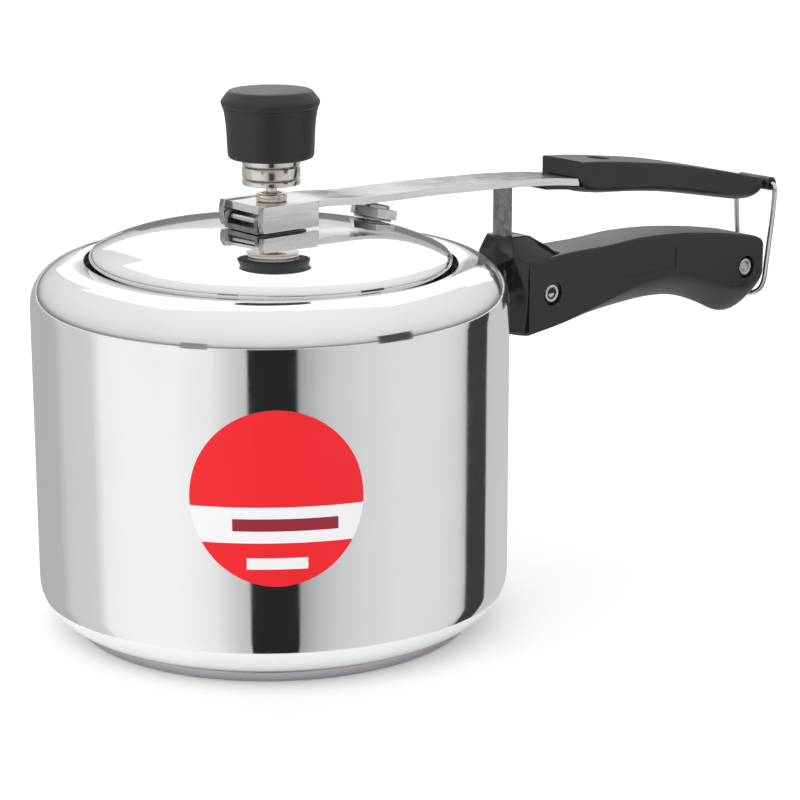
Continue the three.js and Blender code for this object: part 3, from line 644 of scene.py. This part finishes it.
def neck_shape():
    """The hood that rises from the handle round the fulcrum post, with a creased front."""
    half = [
        # front centre, front corner, then back along the flank, for the top and the lower edge
        [(116.5, 0, 137.2), (118.1, 8.0, 137.4), (124.5, 7.2, 137.6), (130, 6.2, 136.8),
         (134, 5.6, 134.6), (140.5, 5.2, 131.2), (148, 5.0, 128.4), (154, 5.0, 126.8)],
        [(116.6, 0, 131.6), (117.2, 9.9, 133.4), (124.8, 9.3, 131.8), (130.5, 8.6, 130.6),
         (135, 8.2, 129.6), (141.5, 8.2, 128.6), (149, 8.4, 127.4), (155, 8.6, 126.4)],
        [(116.7, 0, 126.0), (116.2, 11.3, 129.6), (125.2, 11.2, 125.6), (131, 11.0, 126.0),
         (136, 10.9, 126.4), (142, 10.8, 126.6), (150, 10.8, 126.4), (156, 10.8, 125.8)],
        [(113.4, 0, 113), (124.4, 11.0, 114), (127, 10.9, 114), (131, 10.8, 114), (136, 10.8, 114),
         (142, 10.8, 114), (150, 10.8, 114), (156, 10.8, 114)],
        [(114.2, 0, 98), (123.2, 10.6, 96.6), (127, 9.6, 97.5), (131, 9, 98), (136, 8.8, 98.5),
         (142, 8.6, 99), (150, 8.2, 100), (156, 8, 101)],
    ]
    points, faces = [], []
    rows = []
    for row in half:
        far = [(x, y, z) for x, y, z in reversed(row[1:])]
        near = [(x, -y, z) for x, y, z in row]
        rows.append(list(range(len(points), len(points) + len(far) + len(near))))
        points.extend(far + near)
    count = len(rows[0])
    for upper, lower in zip(rows, rows[1:]):
        for i in range(count - 1):
            faces.append((upper[i], upper[i + 1], lower[i + 1], lower[i]))
    for upper, lower in zip(rows, rows[1:]):
        faces.append((upper[count - 1], upper[0], lower[0], lower[count - 1]))
    for row, flip in ((rows[0], False), (rows[-1], True)):
        for k in range(count // 2):
            a, b, c, d = row[k], row[k + 1], row[count - 2 - k], row[count - 1 - k]
            face = (a, b, c, d) if b != c else (a, b, d)
            faces.append(face if not flip else tuple(reversed(face)))
    return points, faces


body_handle = piece("lower_handle",
                    handle_shape(BODY_HANDLE["front"], BODY_HANDLE["end"], body_half_width, body_top,
                                 body_edge, body_bottom, 0.09, 1.35),
                    handle_black, "body", "handle_plastic", "body_handle")
panel = prism([(182, 113.2), (211.5, 113.2), (211.5, 122.6), (182, 122.6)], -20, -11.2)
recesses = [round_bar(BOLT["recess"], y0, y1, x, z)
            for x, z in BOLTS.values() for y0, y1 in ((-20, -8.9), (8.9, 20))]
carve(body_handle, panel, *recesses)
neck = piece("handle_neck", neck_shape(), gloss_black, "body", "handle_plastic")
settle(bevelled(neck, 0.7, 3, 18), 40)
bevelled(body_handle, 0.3, 2, 50)
even_shading(body_handle)

for place_name, (x, z) in BOLTS.items():
    seat = BODY_HANDLE["half_width"] - BOLT["depth"] + GAP
    cap = BOLT["cap"]
    nut = piece(f"round_nut_{place_name}", round_bar(BOLT["nut"], -seat - cap, -seat, x, z),
                fixing_steel, "body", "plated_steel", f"handle_nut_{place_name}")
    carve(nut, round_bar(BOLT["nut_hole"], -seat - 3, -seat - 0.7, x, z))
    bevelled(nut, 0.35, 3, 40)
    stud = piece(f"bolt_{place_name}", round_bar(BOLT["stud"], -seat - 1.3, seat + 1, x, z),
                 fixing_steel, "body", "plated_steel", f"handle_bolt_{place_name}")
    bevelled(stud, 0.5, 3, 40)
    head = piece(f"bolt_head_{place_name}", round_bar(BOLT["head"], seat, seat + cap, x, z),
                 fixing_steel, "body", "plated_steel")
    bevelled(head, 0.7, 4, 40)

lid_top = height_through([(153, 166), (166, 165), (183, 163), (209, 159.3), (243, 152.4),
                          (258, 148.9), (265, 147.2), (269, 145)])
lid_edge = height_through([(153, 158), (160, 154.8), (171, 153.4), (190, 151.8), (210, 149.2),
                           (240, 143.8), (259, 141), (269, 143.2)])
lid_bottom = height_through([(153, 155), (157, 152.4), (162, 151), (171, 149.8), (190, 148.2),
                             (210, 145.8), (240, 140.4), (248, 138.8), (259, 137.1), (265, 138.3),
                             (269, 141.4)])
bar_top = height_through([(-10, 165.6), (8, 165.6), (21, 165.5), (38, 164.3), (74, 163.7), (95, 163),
                          (117, 162.1), (139, 160.5), (153, 158.8), (170, 157.1), (190, 154.8),
                          (207, 152.2)])


def bar_band(from_x, to_x, upper, lower, pitch=3.0):
    steps = ceil((to_x - from_x) / pitch)
    xs = [from_x + (to_x - from_x) * i / steps for i in range(steps + 1)]
    return ([(x, bar_top(x) + upper) for x in xs]
            + [(x, bar_top(x) + lower) for x in reversed(xs)])


def lid_half_width(x):
    t = max(0.0, (x - LID_HANDLE["taper_from"]) / (LID_HANDLE["end"] - LID_HANDLE["taper_from"]))
    narrowing = LID_HANDLE["half_width"] - LID_HANDLE["end_half"]
    return LID_HANDLE["end_half"] + narrowing * sqrt(max(0.0, 1 - t * t))


lid_handle = piece("upper_handle",
                   handle_shape(LID_HANDLE["front"], LID_HANDLE["end"], lid_half_width, lid_top,
                                lid_edge, lid_bottom, 0.12, 1.7),
                   handle_black, "lever", "handle_plastic", "lid_handle")
lip_top = -BAR["thickness"] - GAP
carve(lid_handle,
      prism(bar_band(134, 156, lip_top, lip_top - 1.4), -11, 11),
      block(264, LUG["x"], -7.3, 7.3, LUG["z"] - 1.9, LUG["z"] + 1.9),
      round_bar(LUG["radius"], -LUG["half_length"], LUG["half_length"], LUG["x"], LUG["z"]),
      operation="UNION")
slot_half = BAR["tongue_half"] + GAP
nut_recess_top = bar_top(SCREW["x"]) - 6
carve(lid_handle,
      prism(bar_band(151, 206.3, GAP, -BAR["thickness"] - GAP), -slot_half, slot_half),
      round_bar(LUG["bore"], -20, 20, LUG["x"], LUG["z"]),
      drill(SCREW["recess"], SCREW["seat"], 175, 48, SCREW["x"]),
      drill(SCREW["recess"], 140, nut_recess_top, 48, SCREW["x"]))
bevelled(lid_handle, 0.3, 2, 50)
even_shading(lid_handle)


# ------------------------------------------------------------------ lever
def cheek_outline():
    half_height = (CHEEK["top"] - CHEEK["bottom"]) / 2
    bow = (half_height ** 2 + CHEEK["bulge"] ** 2) / (2 * CHEEK["bulge"])
    reach = atan2(half_height, bow - CHEEK["bulge"])
    centre = CHEEK["front"] - CHEEK["bulge"] + bow
    front = [(centre + bow * cos(pi - reach + 2 * reach * i / 14),
              CHEEK["bottom"] + half_height + bow * sin(pi - reach + 2 * reach * i / 14))
             for i in range(15)]
    return [(CHEEK["back"], CHEEK["bottom"]), (CHEEK["back"], CHEEK["top"]), *front]


lever = piece("lever_strap", prism(bar_band(BAR["front"], BAR["tongue_end"], 0, -BAR["thickness"]),
                                   -BAR["half_width"], BAR["half_width"]),
              bar_steel, "lever", "plated_steel", "lever_bar")
tongue_start, tongue_half = BAR["tongue_start"], BAR["tongue_half"]
carve(lever, block(tongue_start, 220, tongue_half, 14, 140, 175),
      block(tongue_start, 220, -14, -tongue_half, 140, 175),
      drill(COLLAR["shank"] + GAP, 150, 170, 48, VENT_X),
      drill(SCREW["hole"], 140, 170, 32, SCREW["x"]))
bevelled(lever, 0.45, 3, 50)
for side, name in ((-1, "near"), (1, "far")):
    y0, y1 = sorted((side * CHEEK["inner"], side * CHEEK["outer"]))
    cheek = piece(f"cheek_{name}", prism(cheek_outline(), y0, y1), cheek_steel, "lever",
                  "plated_steel")
    cheek.data.materials.append(sawn_steel)
    for face in cheek.data.polygons:
        if face.normal.x < -0.4:
            face.material_index = 1
    bevelled(cheek, 0.3, 2, 50)

collar = revolve(softened([(COLLAR["bore"], 162.6), (COLLAR["shank"], 162.6), (COLLAR["shank"], 165.9),
                           (COLLAR["radius"], 165.9), (COLLAR["radius"], 166.7),
                           (COLLAR["radius"] - 0.3, 166.9), (COLLAR["radius"], 167.1),
                           (COLLAR["radius"], 168.1), (COLLAR["radius"] - 0.6, COLLAR["top"]),
                           (COLLAR["bore"], COLLAR["top"])], 0.12, 2), 96, centre=(VENT_X, 0))
piece("stem_bush", collar, turned_steel, "lever", "plated_steel", "vent_collar")

# ------------------------------------------------------------------ latch loop
LOOP = [(273.5, 0, 143.3), (273.5, 5, 143.3), (273.5, 9.4, 143.3), (273.5, 11.1, 141.9),
        (273.4, 11.4, 138), (273.2, 10.8, 128), (273, 9.6, 117), (272.8, 8.4, 106),
        (272.8, 7.6, 99.5), (271.8, 6.2, 95.2), (269.9, 3.6, 93.1), (269.3, 0, 92.8)]


def loop_route(per=8):
    """A smooth closed line through the near half's points and their mirror images."""
    whole = [Vector(p) for p in LOOP]
    whole += [Vector((x, -y, z)) for x, y, z in reversed(LOOP[1:-1])]
    count = len(whole)
    route = []
    for i in range(count):
        a, b, c, d = (whole[(i + k) % count] for k in (-1, 0, 1, 2))
        for s in range(per):
            t = s / per
            route.append(0.5 * (2 * b + (c - a) * t + (2 * a - 5 * b + 4 * c - d) * t * t
                                + (3 * b - a - 3 * c + d) * t ** 3))
    return route


def wire_shape(route, radius, sides=20):
    """A round wire along a closed route, its sections turned without twist."""
    count = len(route)
    points, faces = [], []
    normal = Vector((1, 0, 0))
    for i in range(count):
        along = (route[(i + 1) % count] - route[i - 1]).normalized()
        normal = (normal - along * normal.dot(along)).normalized()
        other = along.cross(normal)
        for k in range(sides):
            angle = 2 * pi * k / sides
            spot = route[i] + normal * radius * cos(angle) + other * radius * sin(angle)
            points.append(tuple(spot))
    for i in range(count):
        a, b = i * sides, ((i + 1) % count) * sides
        for k in range(sides):
            n = (k + 1) % sides
            faces.append((a + k, a + n, b + n, b + k))
    return points, faces


piece("wire_loop", wire_shape(loop_route(), 1.15), wire_steel, "latch", "plated_steel", "latch_loop",
      sharp=60)

# ------------------------------------------------------------------ lid
dome_edge = LID["plateau"] - LID["edge_round"] * (1 - sin(LID["edge_slope"]))
dome_height = tan(LID["edge_slope"]) * dome_edge / 4


def dome_at(radius):
    return LID["crown"] - dome_height * (radius / dome_edge) ** 4


def lid_profile():
    plateau, flange, thick, half_y = LID["plateau"], LID["flange"], LID["thickness"], LID["half_y"]
    rings = [dome_edge * i / 26 for i in range(27)]
    upper = [(r, dome_at(r)) for r in rings]
    bend = LID["edge_round"]
    edge = arc(plateau - bend, dome_at(dome_edge) - bend * cos(LID["edge_slope"]), bend, 65, 0, 9)[1:]
    lower = [(r * (1 - thick / dome_edge), dome_at(r) - thick) for r in rings]
    return [*upper, *edge, (plateau, flange + 1.2), (plateau + 0.35, flange + 0.35),
            (plateau + 1.2, flange), (half_y - 0.5, flange), (half_y, flange - 0.5),
            (half_y, flange - thick), (plateau - thick, flange - thick), *reversed(lower)]


piece("lid_dome", revolve(lid_profile(), 240, SQUASH), mirror, "lid", "polished_aluminium",
      "lid_plate", sharp=40)


def underside_at(radius):
    past = max(0.0, radius - (VESSEL["radius"] - VESSEL["shoulder"]))
    return (VESSEL["top"] - VESSEL["shoulder"]
            + sqrt((VESSEL["shoulder"] - VESSEL["wall"]) ** 2 - past ** 2))


gasket_inner, gasket_lip = LID["plateau"] + 1.3, LID["half_y"] + GAP
gasket_outer = gasket_lip + 1.5
gasket_top = [gasket_outer - (gasket_outer - gasket_inner) * i / 8 for i in range(9)]
gasket = softened([(gasket_inner, LID["flange"] + GAP), (gasket_lip, LID["flange"] + GAP),
                   (gasket_lip, LID["flange"] - 2.4), (gasket_outer, LID["flange"] - 2.4)]
                  + [(r, underside_at(r) - 0.6) for r in gasket_top], 0.5)
piece("rubber_ring", revolve(gasket, 200, SQUASH), black_rubber, "lid", "black_rubber",
      "sealing_gasket")


def hexagon_shape(radius, bottom, top):
    outline = [(radius * cos(pi / 3 * i), radius * sin(pi / 3 * i)) for i in range(6)]
    return plate(outline, bottom, top)


valve_z = dome_at(VALVE_X / SQUASH)
valve_tilt = atan2(dome_at((VALVE_X - 1) / SQUASH) - dome_at((VALVE_X + 1) / SQUASH), 2)


# The valve is made upright about the axis, then set down square to the dome.
valve = piece("valve_hexagon", hexagon_shape(9.8, 1.2, 4.9), fixing_steel, "lid", "plated_steel",
              "safety_valve")
valve_stem = [(0, -7.2), (3.5, -7.2), (3.5, 4), (6, 4.2), (6, 6.0), (5.5, 6.5), (0, 6.5)]
carve(valve, revolve(valve_stem, 64), operation="UNION")
carve(valve, drill(2, -10, 12, 40))
valve.data.transform(Matrix.Translation(Vector((VALVE_X, 0, valve_z)) * MM)
                     @ Matrix.Rotation(valve_tilt, 4, "Y"))
bevelled(valve, 0.3, 3, 40)

# ------------------------------------------------------------------ regulator
socket, socket_top = WEIGHT["core"] + GAP, WEIGHT["core_top"] + GAP
knob_profile = [(socket, 182), (15.2, 182), (16.0, 182.35), (16.4, 183.1), (16.55, 184.4), (16.68, 187),
                (16.85, 191), (17.05, 194.5), (17.35, 197.3), (17.8, 200.0), (18.15, 201.2),
                (18.05, 201.3), (18.1, 201.5), (18.35, 201.6), (18.78, 202.8), (18.88, 203.4),
                (18.7, 204.1), (17.9, 205.2), (16.5, 207.0), (15.9, 207.6), (15.3, 207.85),
                (14.4, 208.0), (9, 208.3), (0, 208.5), (0, socket_top), (socket, socket_top)]
piece("regulator_cap", revolve(knob_profile, 128, centre=(VENT_X, 0)), knob_black, "regulator",
      "knob_plastic", "regulator_knob", sharp=50)


def weight_profile():
    """The discs, parted by two grooves, and the core that fills the knob."""
    disc, bottom = WEIGHT["disc"], WEIGHT["bottom"]
    groove = disc - 1.8
    outline = [(WEIGHT["socket"], bottom), (disc, bottom)]
    for height in (174.4, 179.3):
        outline += [(disc, height - 0.28), (groove, height - 0.22), (groove, height + 0.22),
                    (disc, height + 0.28)]
    return outline + [(disc, 181.6), (WEIGHT["core"], 182.3), (WEIGHT["core"], WEIGHT["core_top"]),
                      (WEIGHT["socket"], WEIGHT["core_top"])]


piece("regulator_discs", revolve(softened(weight_profile(), 0.35, 3), 128, centre=(VENT_X, 0)),
      turned_steel, "regulator", "plated_steel", "regulator_weight")

# ------------------------------------------------------------------ carried-over CAD nodes
LOOKS = {
    "body_bracket": post_steel, "bracket_rivet_near": fixing_steel, "bracket_rivet_far": fixing_steel,
    "hinge_pin": turned_steel, "lid_handle_screw": fixing_steel, "lid_handle_nut": fixing_steel,
    "lid_bracket": post_steel, "lid_rivet_near": fixing_steel, "lid_rivet_far": fixing_steel,
    "vent_tube": turned_steel, "vent_washer": soft_alloy, "vent_nut": fixing_steel,
    "valve_plug": soft_alloy, "valve_washer": soft_alloy, "valve_nut": fixing_steel,
    "regulator_needle": turned_steel,
}
for name, material in LOOKS.items():
    for material_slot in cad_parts[name].material_slots:
        material_slot.material = material


# ------------------------------------------------------------------ stage
def stage_object(name, points, faces, material, hidden=False):
    """Part of the studio, in metres. A hidden one is seen only in reflections."""
    mesh = bpy.data.meshes.new(name)
    mesh.from_pydata([Vector(p) for p in points], [], faces)
    obj = bpy.data.objects.new(name, mesh)
    bpy.context.scene.collection.objects.link(obj)
    obj.data.materials.append(material)
    for face in mesh.polygons:
        face.use_smooth = True
    if hidden:
        obj.visible_camera = False
        obj.visible_shadow = False
        obj.visible_diffuse = False
        obj.visible_transmission = False
    return obj


paper, paper_tree, paper_shader = new_material("studio_paper")
paper_noise = noise(paper_tree, place(paper_tree), 2.0, 2.0)
paper_tree.links.new(ramp(paper_tree, paper_noise, (0.98, 0.98, 0.98), (0.95, 0.95, 0.955)),
                     paper_shader.inputs["Base Color"])
paper_shader.inputs["Roughness"].default_value = 0.9
paper_shader.inputs["Emission Color"].default_value = (1, 1, 1, 1)
paper_shader.inputs["Emission Strength"].default_value = 0.16
FLOOR_HALF = 30
floor_corners = [(x * FLOOR_HALF, y * FLOOR_HALF, 0) for x, y in ((-1, -1), (1, -1), (1, 1), (-1, 1))]
stage_object("floor", floor_corners, [(0, 1, 2, 3)], paper)

world = bpy.data.worlds.new("studio")
bpy.context.scene.world = world
world.use_nodes = True
sky = world.node_tree
sky_place = node(sky, "ShaderNodeTexCoord").outputs["Generated"]
sky_up = node(sky, "ShaderNodeSeparateXYZ", {0: sky_place})
sky_ramp = node(sky, "ShaderNodeValToRGB", {0: sky_up.outputs[2]})
# Grey tone by height, from the horizon up.
SKY = [(0.0, 0.14), (0.05, 0.34), (0.13, 0.66), (0.24, 0.76), (0.45, 0.84), (1.0, 0.95)]
stops = sky_ramp.color_ramp.elements
while len(stops) < len(SKY):
    stops.new(0.5)
for stop, (height, tone) in zip(stops, SKY):
    stop.position = height
    stop.color = (tone, tone, tone, 1)
sky.links.new(sky_ramp.outputs[0], sky.nodes["Background"].inputs["Color"])

CAMERA = Vector((-0.5635, -0.7561, 0.3338))
CAMERA_TILT = radians(75.31)
CAMERA_TURN = radians(-39.72)
CAMERA_AZIMUTH = atan2(CAMERA.y, CAMERA.x)

# Brightness of the table as the polished wall reflects it, by degrees round the wall from the
# point that faces the camera: white card, soft grey ends, and two black strips.
TABLE = [(-88, 0.42), (-60, 0.46), (-56, 0.60), (-45, 0.64), (-42, 0.88), (-36, 0.93), (-22, 0.93),
         (-14, 0.84), (-8, 0.60), (-5.7, 0.54), (-5.2, 0.02), (5.3, 0.02), (5.9, 0.36), (10, 0.52),
         (14, 0.61), (20, 0.68), (30, 0.75), (42, 0.73), (48, 0.65), (50.4, 0.48), (51.0, 0.045),
         (59.6, 0.045), (60.2, 0.56), (70, 0.58), (80, 0.54), (88, 0.5)]


CARD_GAIN = 1.07
CARD_HEIGHT = 0.0006


def table_tone(turn):
    for (low, first), (high, last) in zip(TABLE, TABLE[1:]):
        if turn <= high:
            return first + (last - first) * (turn - low) / (high - low)
    return TABLE[-1][1]


def reflected(turn):
    """Where the wall's middle height at this turn sends a look from the camera: start, direction."""
    angle = CAMERA_AZIMUTH + radians(turn)
    normal = Vector((cos(angle), sin(angle), 0))
    start = normal * VESSEL["radius"] * MM
    look = start - CAMERA
    look.z = 0
    look.normalize()
    return start, look - 2 * look.dot(normal) * normal


def reflection_cards():
    """Cards on the table that only reflections see. Each column runs out from the wall."""
    turns = sorted({t for t, _ in TABLE} | set(range(-88, 89, 2)))
    reaches = [0.012, 0.05, 0.15, 0.4, 1.2, 5.0]
    points, faces, tones = [], [], []
    for turn in turns:
        start, direction = reflected(turn)
        for reach in reaches:
            spot = start + direction * reach
            points.append((spot.x, spot.y, CARD_HEIGHT))
            tones.append(table_tone(turn) * CARD_GAIN)
    rows = len(reaches)
    for i in range(len(turns) - 1):
        for k in range(rows - 1):
            a = i * rows + k
            faces.append((a, a + rows, a + rows + 1, a + 1))
    cards, tree, shader = new_material("reflection_card")
    tone = node(tree, "ShaderNodeAttribute", attribute_name="tone").outputs["Fac"]
    glow = node(tree, "ShaderNodeEmission", {"Strength": tone})
    tree.links.new(glow.outputs[0], tree.nodes["Material Output"].inputs["Surface"])
    obj = stage_object("reflection_cards", points, faces, cards, hidden=True)
    layer = obj.data.attributes.new("tone", "FLOAT", "POINT")
    layer.data.foreach_set("value", tones)


reflection_cards()


def flag(name, turn, distance, width, top, tone):
    """An upright card near the horizon that only reflections see."""
    mat, tree, shader = new_material(f"{name}_cloth")
    shader.inputs["Base Color"].default_value = (tone, tone, tone, 1)
    shader.inputs["Roughness"].default_value = 0.9
    angle = CAMERA_AZIMUTH + radians(turn)
    centre = Vector((cos(angle), sin(angle), 0)) * distance
    side = Vector((-sin(angle), cos(angle), 0)) * width / 2
    up = Vector((0, 0, top))
    points = [centre - side, centre + side, centre + side + up, centre - side + up]
    stage_object(name, points, [(0, 1, 2, 3)], mat, hidden=True)


flag("flag_right", 58, 1.6, 0.5, 0.5, 0.05)
flag("flag_left", -35, 1.6, 0.35, 0.4, 0.25)
flag("flag_far", 175, 2.2, 1.0, 0.45, 0.2)


def area(name, location, target, width, height, power):
    """A rectangular soft light, aimed at a point."""
    light = bpy.data.lights.new(name, "AREA")
    light.shape = "RECTANGLE"
    light.size = width
    light.size_y = height
    light.energy = power
    obj = bpy.data.objects.new(name, light)
    bpy.context.scene.collection.objects.link(obj)
    obj.location = location
    obj.rotation_euler = (Vector(target) - Vector(location)).to_track_quat("-Z", "Y").to_euler()
    return obj


key = area("key", (-1.7, -0.35, 1.7), (0, 0, 0.1), 2.2, 2.2, 15)
key.visible_glossy = False
area("back", (0.85, 1.0, 1.75), (0.12, 0, 0.12), 1.9, 1.4, 5.5)
area("low", (1.25, 1.25, 0.85), (0.19, 0, 0.13), 1.6, 0.7, 2.6)

camera_data = bpy.data.cameras.new("camera")
camera_data.lens = 112.5
camera_data.sensor_width = 36
camera_data.sensor_fit = "HORIZONTAL"
camera = bpy.data.objects.new("camera", camera_data)
bpy.context.scene.collection.objects.link(camera)
camera.location = CAMERA
camera.rotation_euler = (CAMERA_TILT, 0, CAMERA_TURN)
bpy.context.scene.camera = camera
bpy.context.scene.view_settings.view_transform = "Standard"
